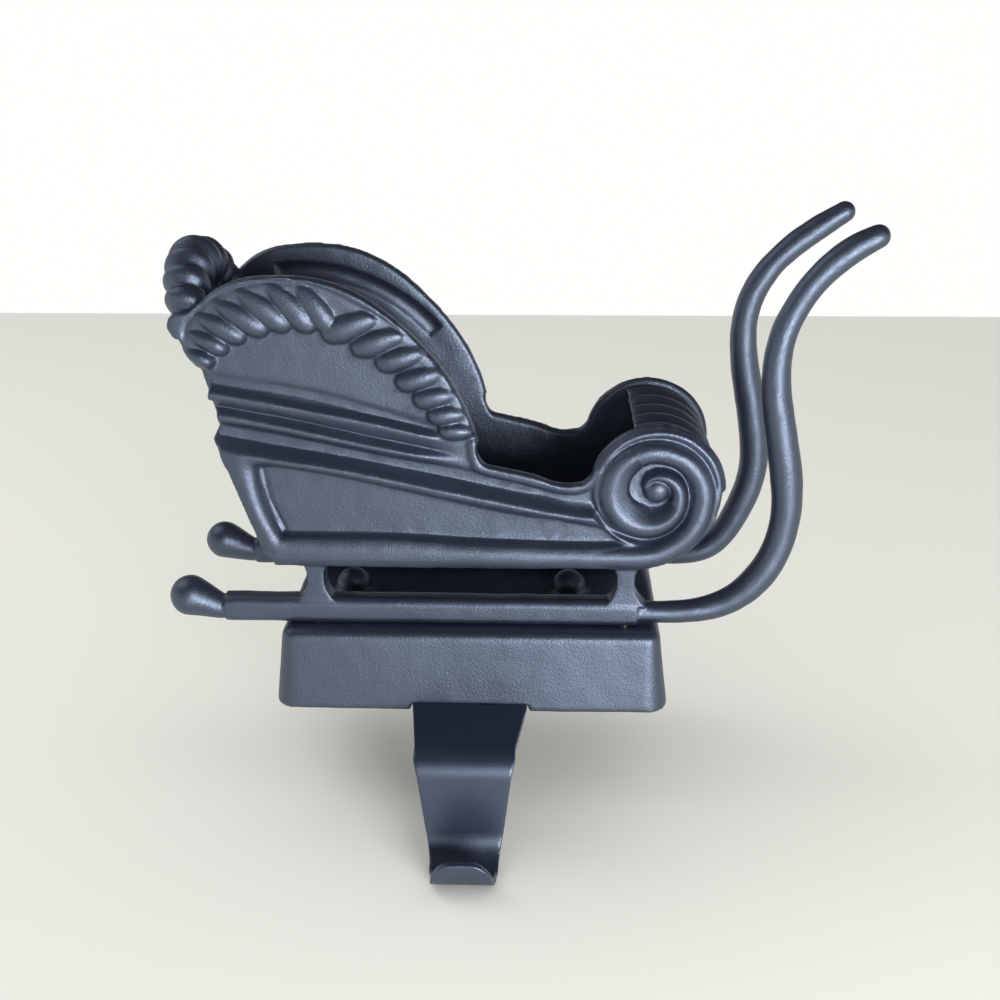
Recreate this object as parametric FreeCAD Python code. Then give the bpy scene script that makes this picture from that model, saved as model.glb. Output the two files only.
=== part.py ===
import FreeCAD, Part
import math
import os

# Mantel stocking holder: a cast-iron sleigh standing on a hollow cast base,
# with a bent flat-steel hook under the base that drops in front of the mantel.
# Millimetres. X is along the sleigh, its dash and shafts at +X.
# Y is across it, the hook side at -Y. Z is up. The origin is the middle of
# the base's underside, the face that rests on the mantel.

V = FreeCAD.Vector
UP = V(0, 0, 1)
ACROSS = V(0, 1, 0)
CENTRE = V(0, 0, 0)
COS_45 = math.sqrt(0.5)

# Base casting
base_length = 102.0
base_depth = 57.0
base_height = 21.0
base_draft_deg = 7.0
base_corner = 6.0
base_top_round = 2.6
base_wall = 4.0
deck_thickness = 4.5
cavity_corner = 3.0
smallest_corner = 0.5

# Bosses on the deck, each the domed top of a column inside the base
boss_x = (-33.0, 25.5)
boss_radius = 4.6
boss_foot = 1.7
column_radius = 5.5

# Hook: one tapering strip of flat steel
strip_thickness = 1.8
strip_root_width = 29.5
strip_taper = 0.243
strip_reach = 25.5
bend_radius = 4.0
hook_drop = 29.3
curl_radius = 6.6
lip_rise = 1.2
lip_corner = 5.5
lip_travel = 1.6
tail_depth = 17.0
tail_margin = 1.5
notch_clearance = 0.3

# Screws
hook_screw_shank = 4.0
hook_screw_head = 7.4
hook_screw_length = 12.0
sleigh_screw_shank = 3.0
sleigh_screw_head = 6.0
sleigh_screw_head_height = 2.2
sleigh_screw_grip = 6.5
thread_clearance = 0.1
hole_clearance = 0.4
screw_tip_gap = 0.6
drive_depth = 1.0
drive_width = 0.9
drive_share = 0.58
head_chamfer = 0.4

# Runners, posts and shafts
runner_spacing = 37.4
bar_width = 6.4
bar_height = 7.2
bar_round = 2.2
bar_rear_x = -63.5
post_x = 39.5
post_waist = 4.4
post_depth = 5.6
post_height = 10.7
post_flare = 3.2
post_sink = 1.5
knob_radius = 5.2
knob_centre = (-72.7, 6.4)
neck_radius = 3.2
neck_centre = (-64.9, 3.3)
shaft_start_height = 3.4
shaft_radii = (3.05, 3.2, 3.7, 3.85, 3.8, 3.4, 3.1, 2.8)
shaft_bow = 1.4

# Body of the sleigh; heights in the outlines are above the body's underside
cabin_width = 40.0
floor_thickness = 2.6
sheet_thickness = 2.2
tub_thickness = 3.6
panel_depth = 1.2
back_thickness = 3.0
body_rear_x = -50.6
rear_corner = 4.0
body_rear_top = (-62.2, 32.6)
body_step = (-60.3, 36.1)
crest_points = (
    (-63.0, 50.6), (-66.8, 57.6), (-60.4, 66.5), (-40.0, 71.1), (-9.0, 52.3), (1.3, 31.6),
)
arm_rear = (3.8, 25.3)
arm_front = (24.5, 20.4)
arm_turn = (29.2, 21.4)
arm_rise = (1.9, 27.6)
arm_middle = (14.2, 22.9)
bead_radius = 1.4
arm_bead_radius = 1.1
relief_root = 0.1
joint_overlap = 0.2
bead_seat = 0.6
weld = 1.0

# Scroll at the front of each side, turned from quarter circles
scroll_centre = (46.4, 19.7)
scroll_radius = 15.8
arm_join_deg = 160.0
tub_join_deg = 187.0
nose_radius = 19.7
volute_start_x = 41.7
volute_radii = (16.0, 11.7, 10.7, 8.5, 8.0, 5.8, 4.9, 3.4)
volute_outer_turns = 4
volute_ridge = 3.4
volute_inner_ridge = 1.6
volute_crest = 5.0
eye_centre = (46.4, 20.2)
eye_radius = 3.3
sill_height = 2.4
sill_inset = 1.2

# Mouldings along the side
moulding_radius = 2.6
moulding_stand = 1.3
moulding_fade = 14.0
fade_sink = 0.2
upper_moulding = ((-62.2, 44.9), (-0.5, 32.6))
middle_moulding = ((-60.4, 39.1), (1.2, 27.8))
shoulder_radius = 4.5
shoulder_stand = 0.8
shoulder = ((-60.6, 30.1), (33.0, 14.4))
panel_top = ((-52.3, 25.3), (-24.5, 21.6), (3.0, 15.6), (22.7, 12.0), (38.0, 5.9))
panel_bottom = ((38.0, 5.9), (-4.5, 7.2), (-47.0, 7.6))

# Gadroons: fat lobes side by side along the crest. The rear ones fan out to the
# rim and are fat at their inner ends, the front ones are fat at the rim.
rear_lobes = 7
rear_lobe_rim = ((-64.8, 55.4), (-63.0, 63.7), (-52.2, 69.3), (-39.1, 71.3))
rear_lobe_feet = ((-60.9, 52.8), (-53.3, 59.1), (-42.4, 62.3), (-33.6, 61.8))
front_lobes = 8
front_lobe_rim = ((-26.8, 66.2), (-12.4, 55.7), (-5.5, 46.8), (0.3, 37.8))
front_lobe_feet = ((-32.9, 61.3), (-20.6, 52.5), (-12.2, 45.2), (-6.2, 36.2))
gadroon_fat = 2.9
gadroon_fat_share = 0.42
rear_lobe_thin_share = 0.45
front_lobe_thin_share = 0.72
gadroon_stand = 2.5
channel_depth = 1.0
channel_radius = 3.4
channel_points = ((-53.0, 65.2), (-30.0, 62.8), (-11.0, 49.2))

# Rolled top of the back, arched and fluted across
roll_end = (-65.6, 56.9)
roll_middle = (-69.0, 71.3)
roll_lobes = 9
roll_end_radius = 5.4
roll_middle_radius = 7.0
roll_crest_radius = 2.6
roll_crest_deg = 50.0
roll_lobe_reach = 0.57
roll_fan = 0.55
roll_overhang = 0.5

# Ribbed dash, curled over at the front
dash_thickness = 2.4
dash_inset = 1.2
dash_rib_count = 5
dash_rib_radius = 2.7
dash_rib_stand = 1.1
dash_end_deg = 112.0
dash_foot_deg = -62.0

# Sizes that follow from the ones above
half_cabin = cabin_width / 2
half_spacing = runner_spacing / 2
body_z = base_height + bar_height + post_height
draft = math.tan(math.radians(base_draft_deg))
deck_underside = base_height - deck_thickness
base_front_y = -base_depth / 2
hook_front_y = base_front_y - strip_reach
curl_y = hook_front_y - curl_radius
curl_z = strip_thickness * 2 - hook_drop + curl_radius
sheet_face = half_cabin + sheet_thickness
tub_face = half_cabin + tub_thickness
bead_y = half_cabin + sheet_thickness * bead_seat
inner_width = cabin_width + 2 * joint_overlap
overall = 2 * base_length


def side_point(x, z, y=0.0):
    """A point of a side outline, z above the body's underside."""
    return V(x, y, body_z + z)


def prism(edges, direction):
    """Solid of a closed flat outline pushed along a direction."""
    return Part.Face(Part.Wire(edges)).extrude(direction)


def polyline(points):
    """Straight edges through points, left open."""
    return [Part.makeLine(a, b) for a, b in zip(points, points[1:])]


def spline(points):
    """Smooth curve through points."""
    curve = Part.BSplineCurve()
    curve.interpolate(points)
    return curve


def arc(start, middle, end):
    """Circular edge through three points."""
    return Part.Arc(start, middle, end).toShape()


def ring(centre, along, radius):
    """Circle square to a direction, its seam turned to the outside of the side."""
    z_axis = V(along).normalize()
    x_axis = z_axis.cross(ACROSS).normalize()
    turn = FreeCAD.Rotation(x_axis, z_axis.cross(x_axis), z_axis, "ZXY")
    circle = Part.Wire(Part.makeCircle(radius))
    circle.Placement = FreeCAD.Placement(centre, turn)
    return circle


def round_bar(edges, radius):
    """Bar of one radius along arcs and lines that join smoothly in one side plane."""
    first = edges[0]
    heading = first.tangentAt(first.FirstParameter)
    circle = ring(first.valueAt(first.FirstParameter), heading, radius)
    return Part.Wire(edges).makePipeShell([circle], True, False, 1)


def arc_from(start, heading, end):
    """Circular edge that leaves a point along a heading and ends at another."""
    chord = end - start
    lift = heading - chord * (heading.dot(chord) / chord.dot(chord))
    if lift.Length < 1e-6:
        return Part.makeLine(start, end)
    turn = math.acos(max(-1.0, min(1.0, heading.dot(chord) / chord.Length)))
    crown = lift.normalize() * (chord.Length / 2 * math.tan(turn / 2))
    return arc(start, (start + end) * 0.5 + crown, end)


def heading_through(before, here, after):
    """Direction at a point of the circle through it and its neighbours."""
    a = here - before
    b = after - here
    return (a * (1 / a.dot(a)) + b * (1 / b.dot(b))).normalize()


def smooth_arcs(points):
    """Chain of arcs through points, two to each step, smooth at every join."""
    inner = [heading_through(*points[i:i + 3]) for i in range(len(points) - 2)]
    first = points[1] - points[0]
    last = points[-1] - points[-2]
    first = first * (2 * inner[0].dot(first) / first.dot(first)) - inner[0]
    last = last * (2 * inner[-1].dot(last) / last.dot(last)) - inner[-1]
    headings = [first] + inner + [last]
    edges = []
    for i in range(len(points) - 1):
        a, b = points[i], points[i + 1]
        start, end = headings[i], headings[i + 1]
        step = b - a
        along = step.dot(start + end)
        spread = 2 * (1 - start.dot(end))
        if spread < 1e-9:
            reach = step.dot(step) / (2 * along)
        else:
            reach = (math.sqrt(along ** 2 + spread * step.dot(step)) - along) / spread
        join = (a + b + (start - end) * reach) * 0.5
        edges.append(arc_from(a, start, join))
        back_edge = arc_from(b, end * -1, join)
        edges.append(arc(join, back_edge.valueAt(
            (back_edge.FirstParameter + back_edge.LastParameter) / 2), b))
    return edges


def tapered_bar(points, radius_at, sections):
    """Bar along a smooth curve; radius_at gives its radius from 0 to 1 along it."""
    curve = spline(points)
    length = curve.length()
    sweep = Part.BRepOffsetAPI.MakePipeShell(Part.Wire(curve.toShape()))
    sweep.setBiNormalMode(ACROSS)
    for i in range(sections):
        share = i / (sections - 1)
        u = curve.parameterAtDistance(length * share, curve.FirstParameter)
        sweep.add(ring(curve.value(u), curve.tangent(u)[0], radius_at(share)), False, False)
    sweep.build()
    sweep.makeSolid()
    return sweep.shape()


def blend(*values):
    """Radius that passes through evenly spaced values along a tube."""
    def radius_at(share):
        place = share * (len(values) - 1)
        i = min(int(place), len(values) - 2)
        return values[i] + (values[i + 1] - values[i]) * (place - i)
    return radius_at


def teardrop(tip, along, length, fat, thin):
    """Lobe with a thin round end at tip and a fat one at the far end."""
    reach = length - fat - thin
    lean = math.asin((fat - thin) / reach)
    front = V(thin + reach, 0, 0)
    back_top = V(thin - thin * math.sin(lean), thin * math.cos(lean), 0)
    front_top = front + V(-fat * math.sin(lean), fat * math.cos(lean), 0)
    outline = [
        arc(V(0, 0, 0), V(thin * (1 - COS_45), thin * COS_45, 0), back_top),
        Part.makeLine(back_top, front_top),
        arc(front_top, front + V(fat * COS_45, fat * COS_45, 0), V(length, 0, 0)),
        Part.makeLine(V(length, 0, 0), V(0, 0, 0)),
    ]
    lobe = Part.Face(Part.Wire(outline)).revolve(CENTRE, V(1, 0, 0), 360)
    lobe.Placement = FreeCAD.Placement(tip, FreeCAD.Rotation(V(1, 0, 0), along))
    return lobe


def rounded_rectangle(length, depth, corner, z):
    """Rectangle with round corners, level, centred on the origin."""
    x = length / 2
    y = depth / 2
    edges = []
    for sx, sy in ((1, -1), (1, 1), (-1, 1), (-1, -1)):
        centre = V(sx * (x - corner), sy * (y - corner), z)
        turn = math.degrees(math.atan2(sy, sx))
        edges.append(Part.makeCircle(corner, centre, UP, turn - 45, turn + 45))
    wire = []
    for edge, after in zip(edges, edges[1:] + edges[:1]):
        wire.append(edge)
        wire.append(Part.makeLine(edge.lastVertex().Point, after.firstVertex().Point))
    return Part.Wire(wire)


def drafted_block(length, depth, corner, height):
    """Block with sloping sides, its largest outline at the bottom."""
    shrink = height * draft
    low = rounded_rectangle(length, depth, corner, 0)
    high = rounded_rectangle(
        length - 2 * shrink, depth - 2 * shrink, max(corner - shrink, smallest_corner), height
    )
    return Part.makeLoft([low, high], True, True)


def base_shell():
    """Outside of the base with its softened top edge, less the hollow."""
    block = drafted_block(base_length, base_depth, base_corner, base_height)
    top_edges = [e for e in block.Edges if e.BoundBox.ZMin > base_height - 0.01]
    block = block.makeFillet(base_top_round, top_edges)
    hollow = drafted_block(
        base_length - 2 * base_wall, base_depth - 2 * base_wall, cavity_corner, deck_underside
    )
    return block.cut(hollow)


def boss_dome(x):
    """Domed boss standing on the deck, flared at its foot."""
    foot = boss_radius + boss_foot
    z = base_height
    sweep = boss_foot * (1 - COS_45)
    dome = boss_radius * COS_45
    edges = polyline([V(x, 0, z + boss_foot + boss_radius), V(x, 0, z - weld),
                      V(x + foot, 0, z - weld), V(x + foot, 0, z)])
    edges.append(arc(V(x + foot, 0, z), V(x + boss_radius + sweep, 0, z + sweep),
                     V(x + boss_radius, 0, z + boss_foot)))
    edges.append(arc(V(x + boss_radius, 0, z + boss_foot), V(x + dome, 0, z + boss_foot + dome),
                     V(x, 0, z + boss_foot + boss_radius)))
    return Part.Face(Part.Wire(edges)).revolve(V(x, 0, z), UP, 360)


def sleigh_screw_places():
    """Centres of the four screws that hold the runners to the deck."""
    return [(x, y) for x in (-post_x, post_x) for y in (-half_spacing, half_spacing)]


def make_base():
    """Hollow base with two inner columns, a notch for the strip and its screw holes."""
    base = base_shell()
    column_top = deck_underside + weld
    for x in boss_x:
        column = Part.makeCylinder(
            column_radius, column_top - strip_thickness, V(x, 0, strip_thickness), UP
        )
        base = base.fuse([column, boss_dome(x)])
        base = base.cut(Part.makeCylinder(
            (hook_screw_shank + thread_clearance) / 2, hook_screw_length + screw_tip_gap,
            V(x, 0, 0), UP
        ))
    notch_width = strip_root_width + 2 * notch_clearance
    base = base.cut(Part.makeBox(
        notch_width, base_wall * 2, strip_thickness, V(-notch_width / 2, base_front_y - weld, 0)
    ))
    for x, y in sleigh_screw_places():
        base = base.cut(Part.makeCylinder(
            (sleigh_screw_shank + hole_clearance) / 2, base_height, V(x, y, 1), UP
        ))
    return base.removeSplitter()


def hook_profile():
    """Side outline of the strip: tail, bend, drop, curl and lip."""
    t = strip_thickness
    outer = bend_radius + t
    curl_outer = curl_radius + t
    lip_z = curl_z + lip_rise
    bend_y = hook_front_y + outer
    bend_z = t - outer
    lip_y = curl_y - curl_radius
    rear = tail_depth / 2
    return [
        Part.makeLine(V(0, rear, t), V(0, bend_y, t)),
        arc(V(0, bend_y, t), V(0, bend_y - outer * COS_45, bend_z + outer * COS_45),
            V(0, hook_front_y, bend_z)),
        Part.makeLine(V(0, hook_front_y, bend_z), V(0, hook_front_y, curl_z)),
        arc(V(0, hook_front_y, curl_z), V(0, curl_y, curl_z - curl_radius), V(0, lip_y, curl_z)),
        Part.makeLine(V(0, lip_y, curl_z), V(0, lip_y, lip_z)),
        Part.makeLine(V(0, lip_y, lip_z), V(0, lip_y - t, lip_z)),
        Part.makeLine(V(0, lip_y - t, lip_z), V(0, lip_y - t, curl_z)),
        arc(V(0, lip_y - t, curl_z), V(0, curl_y, curl_z - curl_outer), V(0, hook_front_y + t, curl_z)),
        Part.makeLine(V(0, hook_front_y + t, curl_z), V(0, hook_front_y + t, bend_z)),
        arc(V(0, hook_front_y + t, bend_z),
            V(0, bend_y - bend_radius * COS_45, bend_z + bend_radius * COS_45), V(0, bend_y, 0)),
        Part.makeLine(V(0, bend_y, 0), V(0, rear, 0)),
        Part.makeLine(V(0, rear, 0), V(0, rear, t)),
    ]


def strip_half_width(travel):
    """Half the strip's width, a distance along it from the base's front edge."""
    return (strip_root_width - strip_taper * travel) / 2


def hook_regions():
    """Cutters for the level part, the drop and the lip, each with its taper."""
    t = strip_thickness
    root = strip_root_width / 2
    rear = tail_depth / 2
    level_end = hook_front_y + bend_radius + t
    level = base_front_y - level_end
    arc_length = math.pi / 2 * (bend_radius + t / 2)
    drop = hook_drop - 2 * t - bend_radius - curl_radius
    curl = math.pi / 2 * (curl_radius + t / 2)
    bend_z = -bend_radius
    low = t - hook_drop
    above = 3 * t
    at_bend = strip_half_width(level)
    at_drop = strip_half_width(level + arc_length)
    at_curl = strip_half_width(level + arc_length + drop)
    at_heel = strip_half_width(level + arc_length + drop + curl)
    at_lip = strip_half_width(level + arc_length + drop + lip_travel * curl)
    plan = [V(root, rear, -t), V(root, base_front_y, -t), V(at_bend, level_end, -t)]
    plan += [V(-p.x, p.y, p.z) for p in reversed(plan)]
    front = [V(at_bend, 0, above), V(at_bend, 0, 0), V(at_drop, 0, bend_z), V(at_curl, 0, curl_z),
             V(at_heel, 0, low)]
    front += [V(-p.x, p.y, p.z) for p in reversed(front)]
    lip_z = curl_z + lip_rise
    corner_z = lip_z - lip_corner
    trim = lip_corner * (1 - COS_45)
    inset = at_lip - lip_corner
    lip = [
        Part.makeLine(V(-at_heel, 0, low), V(at_heel, 0, low)),
        Part.makeLine(V(at_heel, 0, low), V(at_lip, 0, corner_z)),
        arc(V(at_lip, 0, corner_z), V(at_lip - trim, 0, lip_z - trim), V(inset, 0, lip_z)),
        Part.makeLine(V(inset, 0, lip_z), V(-inset, 0, lip_z)),
        arc(V(-inset, 0, lip_z), V(trim - at_lip, 0, lip_z - trim), V(-at_lip, 0, corner_z)),
        Part.makeLine(V(-at_lip, 0, corner_z), V(-at_heel, 0, low)),
    ]
    level_block = prism(polyline(plan + plan[:1]), V(0, 0, above))
    drop_block = prism(polyline(front + front[:1]), V(0, curl_y - level_end, 0))
    drop_block.translate(V(0, level_end, 0))
    lip_block = prism(lip, V(0, -2 * (curl_radius + t), 0))
    lip_block.translate(V(0, curl_y, 0))
    return [level_block, drop_block, lip_block]


def make_hook():
    """The strip: cross-shaped tail under the columns, tapering neck and rounded lip."""
    tail_reach = column_radius + tail_margin
    tail_low_x = min(boss_x) - tail_reach
    tail_high_x = max(boss_x) + tail_reach
    strip = prism(hook_profile(), V(strip_root_width, 0, 0))
    strip.translate(V(-strip_root_width / 2, 0, 0))
    pieces = [strip.common(region) for region in hook_regions()]
    tail = Part.makeBox(
        tail_high_x - tail_low_x, tail_depth, strip_thickness,
        V(tail_low_x, -tail_depth / 2, 0)
    )
    hook = tail.fuse(pieces).removeSplitter()
    for x in boss_x:
        hook = hook.cut(countersunk_body(x, hook_screw_shank + hole_clearance, notch_clearance / 2))
    return hook


def countersunk_body(x, shank, grow):
    """Straight shank with a flat countersunk head at the strip's underside."""
    head = hook_screw_head / 2 + grow
    cone = Part.makeCone(head, shank / 2, head - shank / 2, V(x, 0, 0), UP)
    return cone.fuse(Part.makeCylinder(shank / 2, hook_screw_length, V(x, 0, 0), UP))


def drive_cross(x, y, z, width):
    """Cross-shaped recess cut up into a screw head."""
    bars = []
    for size_x, size_y in ((width, drive_width), (drive_width, width)):
        bars.append(Part.makeBox(
            size_x, size_y, drive_depth, V(x - size_x / 2, y - size_y / 2, z)
        ))
    return bars[0].fuse(bars[1])


def make_hook_screws():
    """Two countersunk screws that hold the strip to the columns."""
    screws = []
    for x in boss_x:
        screw = countersunk_body(x, hook_screw_shank, 0.0)
        screws.append(screw.cut(drive_cross(x, 0, 0, hook_screw_head * drive_share)))
    return Part.makeCompound(screws)


def make_sleigh_screws():
    """Four flat-headed screws up through the deck into the runners."""
    screws = []
    head_z = deck_underside - sleigh_screw_head_height
    length = deck_thickness + sleigh_screw_grip
    for x, y in sleigh_screw_places():
        head = Part.makeCylinder(
            sleigh_screw_head / 2, sleigh_screw_head_height, V(x, y, head_z), UP
        )
        low_edges = [e for e in head.Edges if e.BoundBox.ZMax < head_z + 0.01]
        head = head.makeChamfer(head_chamfer, low_edges)
        shank = Part.makeCylinder(sleigh_screw_shank / 2, length, V(x, y, deck_underside), UP)
        screw = head.fuse(shank).cut(drive_cross(x, y, head_z, sleigh_screw_head * drive_share))
        screws.append(screw)
    return Part.makeCompound(screws)


def rear_corner_arc(y):
    """Rounded corner between the underside and the leaning back."""
    corner = side_point(body_rear_x, 0, y)
    up = (side_point(*body_rear_top, y) - corner).normalize()
    return arc_from(corner + V(rear_corner, 0, 0), V(-1, 0, 0), corner + up * rear_corner)


def arm_join(y):
    """Where the arm's turn runs into the scroll."""
    angle = math.radians(arm_join_deg)
    cx, cz = scroll_centre
    return side_point(cx + scroll_radius * math.cos(angle), cz + scroll_radius * math.sin(angle), y)


def side_outline(y):
    """Whole outline of one side: back, crest, arm, scroll and underside."""
    cx, cz = scroll_centre
    nose_x = cx + scroll_radius - nose_radius
    join = arm_join(y)
    crest = [side_point(x, z, y) for x, z in crest_points]
    corner = rear_corner_arc(y)
    right = side_point(cx + scroll_radius, nose_radius, y)
    right_high = side_point(cx + scroll_radius, cz, y)
    foot = side_point(nose_x, 0, y)
    nose_mid = side_point(nose_x + nose_radius * COS_45, nose_radius * (1 - COS_45), y)
    top = side_point(cx, cz + scroll_radius, y)
    edges = [corner]
    edges += polyline([
        corner.lastVertex().Point, side_point(*body_rear_top, y), side_point(*body_step, y), crest[0],
    ])
    edges += smooth_arcs(crest)
    edges += polyline([crest[-1], side_point(*arm_rear, y), side_point(*arm_front, y)])
    edges.append(arc(side_point(*arm_front, y), side_point(*arm_turn, y), join))
    edges.append(arc(join, top, right_high))
    if (right - right_high).Length > 0.001:
        edges.append(Part.makeLine(right_high, right))
    edges.append(arc(right, nose_mid, foot))
    edges.append(Part.makeLine(foot, corner.firstVertex().Point))
    return edges


def tub_outline(y):
    """Outline of the thicker lower part, its top along the shoulder."""
    cx, cz = scroll_centre
    nose_x = cx + scroll_radius - nose_radius
    top = [side_point(x, z, y) for x, z in shoulder]
    corner = rear_corner_arc(y)
    low = math.radians(tub_join_deg)
    join = side_point(cx + scroll_radius * math.cos(low), cz + scroll_radius * math.sin(low), y)
    crown = side_point(cx, cz + scroll_radius, y)
    right = side_point(cx + scroll_radius, cz, y)
    nose_mid = side_point(nose_x + nose_radius * COS_45, nose_radius * (1 - COS_45), y)
    foot = side_point(nose_x, 0, y)
    edges = [corner, Part.makeLine(corner.lastVertex().Point, top[0])]
    edges.append(Part.makeLine(top[0], top[-1]))
    edges.append(Part.makeLine(top[-1], join))
    edges.append(arc(join, crown, right))
    edges.append(arc(right, nose_mid, foot))
    edges.append(Part.makeLine(foot, corner.firstVertex().Point))
    return edges


def volute():
    """Ridge that runs along the sill and winds into the scroll."""
    crest = half_cabin + volute_crest
    y = crest - volute_ridge
    centre = V(volute_start_x, 0, sill_height + volute_radii[0])
    sill_start = side_point(body_rear_x + sill_inset, sill_height, y)
    outer = [Part.makeLine(sill_start, side_point(volute_start_x, sill_height, y))]
    inner = []
    inner_y = crest - volute_inner_ridge
    link = []
    for i, radius in enumerate(volute_radii):
        start = math.radians(-90 + 90 * i)
        if i > 0:
            shift = volute_radii[i - 1] - radius
            centre = centre + V(shift * math.cos(start), 0, shift * math.sin(start))
        marks = []
        for step in range(4):
            angle = start + math.radians(30 * step)
            marks.append((centre.x + radius * math.cos(angle), centre.z + radius * math.sin(angle)))
        if i == volute_outer_turns:
            for step, (x, z) in enumerate(marks):
                r = volute_ridge + (volute_inner_ridge - volute_ridge) * step / 3
                angle = start + math.radians(30 * step + 90)
                link.append(ring(
                    side_point(x, z, crest - r), V(math.cos(angle), 0, math.sin(angle)), r
                ))
            continue
        turn_y = y if i < volute_outer_turns else inner_y
        quarter = [side_point(x, z, turn_y) for x, z in marks]
        edge = arc(quarter[0], quarter[1], quarter[3])
        if i < volute_outer_turns:
            outer.append(edge)
        else:
            inner.append(edge)
    eye = Part.makeSphere(eye_radius, side_point(*eye_centre, crest - eye_radius))
    return [
        round_bar(outer, volute_ridge), Part.makeLoft(link, True, False),
        round_bar(inner, volute_inner_ridge), eye,
    ]


def moulding(ends, face, radius, stand):
    """Half-round bar lying on a face of the side, fading out at its front end."""
    start, end = [side_point(x, z, face + stand - radius) for x, z in ends]
    along = (end - start).normalize()
    straight = (end - start).Length - moulding_fade
    bar = Part.makeCylinder(radius, straight, start, along)
    fade = Part.makeCone(
        radius, radius - stand - fade_sink, moulding_fade, start + along * straight, along
    )
    return bar.fuse(fade)


def bead(points, radius):
    """Round bead along an edge of the side sheet."""
    return round_bar(smooth_arcs([side_point(x, z, bead_y) for x, z in points]), radius)


def scroll_bead():
    """Round bead along the scroll's edge, from the arm over the top to the nose."""
    cx, cz = scroll_centre
    crown = side_point(cx, cz + scroll_radius, bead_y)
    right = side_point(cx + scroll_radius, cz, bead_y)
    return round_bar([arc(arm_join(bead_y), crown, right)], arm_bead_radius)


def stations(points, count):
    """Evenly spaced places along a smooth line of the side, its ends among them."""
    line = spline([side_point(x, z) for x, z in points])
    pitch = line.length() / (count - 1)
    marks = [line.parameterAtDistance(pitch * i, line.FirstParameter) for i in range(count)]
    return [line.value(u) for u in marks]


def gadroon(thin_end, fat_end, thin_share):
    """One lobe between two places of the side, half sunk in its face."""
    along = fat_end - thin_end
    length = along.Length
    fat = min(gadroon_fat, length * gadroon_fat_share)
    tip = V(thin_end.x, sheet_face + gadroon_stand - gadroon_fat, thin_end.z)
    return teardrop(tip, along.normalize(), length, fat, fat * thin_share)


def gadroons():
    """Lobes along the crest: a fan of long ones at the back, short ones down the front."""
    lobes = []
    for rim, foot in zip(stations(rear_lobe_rim, rear_lobes), stations(rear_lobe_feet, rear_lobes)):
        lobes.append(gadroon(rim, foot, rear_lobe_thin_share))
    for rim, foot in zip(stations(front_lobe_rim, front_lobes), stations(front_lobe_feet, front_lobes)):
        lobes.append(gadroon(foot, rim, front_lobe_thin_share))
    return lobes


def inner_channel():
    """Crescent hollow on the cabin face behind the gadroons."""
    y = half_cabin + channel_depth - channel_radius
    return round_bar(smooth_arcs([side_point(x, z, y) for x, z in channel_points]), channel_radius)


def make_side():
    """One side of the sleigh at +Y, with all its relief."""
    sheet = prism(side_outline(half_cabin), V(0, sheet_thickness, 0))
    tub = prism(tub_outline(half_cabin), V(0, tub_thickness, 0))
    top = [side_point(x, z, tub_face - panel_depth) for x, z in panel_top]
    bottom = [side_point(x, z, tub_face - panel_depth) for x, z in panel_bottom]
    edges = smooth_arcs(top) + [arc(*bottom)]
    edges.append(Part.makeLine(bottom[-1], top[0]))
    tub = tub.cut(prism(edges, V(0, 2 * panel_depth, 0)))
    side = sheet.fuse(tub)
    scroll_side = arm_join(0)
    scroll_side = (scroll_side.x, scroll_side.z - body_z)
    relief = [
        moulding(upper_moulding, sheet_face, moulding_radius, moulding_stand),
        moulding(middle_moulding, sheet_face, moulding_radius, moulding_stand),
        moulding(shoulder, tub_face, shoulder_radius, shoulder_stand),
        bead(crest_points, bead_radius),
        bead([crest_points[-1], arm_rise, arm_rear], arm_bead_radius),
        bead([arm_rear, arm_middle, arm_front, arm_turn, scroll_side], arm_bead_radius),
        scroll_bead(),
    ]
    root = half_cabin + relief_root
    inside = Part.makeBox(
        overall, overall, overall, V(-overall / 2, root - overall, body_z - overall / 4)
    )
    relief = [piece.cut(inside) for piece in relief + volute() + gadroons()]
    return side.fuse(relief).cut(inner_channel())


def roll_lobe(radius, half_length):
    """One turned lobe of the roll about the z axis, sloping to its valleys."""
    slope = math.radians(roll_crest_deg)
    rim = radius - roll_crest_radius
    crest_x = rim + roll_crest_radius * math.cos(slope)
    crest_z = roll_crest_radius * math.sin(slope)
    edge_x = crest_x - (half_length - crest_z) * math.tan(slope)
    outline = polyline([
        V(crest_x, 0, crest_z), V(edge_x, 0, half_length), V(0, 0, half_length),
        V(0, 0, -half_length), V(edge_x, 0, -half_length), V(crest_x, 0, -crest_z),
    ])
    outline.append(arc(V(crest_x, 0, -crest_z), V(radius, 0, 0), V(crest_x, 0, crest_z)))
    return Part.Face(Part.Wire(outline)).revolve(CENTRE, UP, 360)


def roll():
    """Arched roll along the top of the back, fluted across."""
    end_x, end_z = roll_end
    mid_x, mid_z = roll_middle
    y = half_cabin + roll_overhang
    line = Part.Arc(side_point(end_x, end_z, -y), side_point(mid_x, mid_z, 0), side_point(end_x, end_z, y))
    pitch = line.length() / roll_lobes
    lobes = []
    for i in range(roll_lobes):
        u = line.parameterAtDistance(pitch * (i + 0.5), line.FirstParameter)
        place = line.value(u)
        share = 1 - abs(place.y) / y
        radius = roll_end_radius + (roll_middle_radius - roll_end_radius) * share
        lobe = roll_lobe(radius, pitch * roll_lobe_reach)
        along = line.tangent(u)[0] + V(-roll_fan * place.y / y, 0, 0)
        lobe.Placement = FreeCAD.Placement(place, FreeCAD.Rotation(UP, along))
        lobes.append(lobe)
    return lobes


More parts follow.
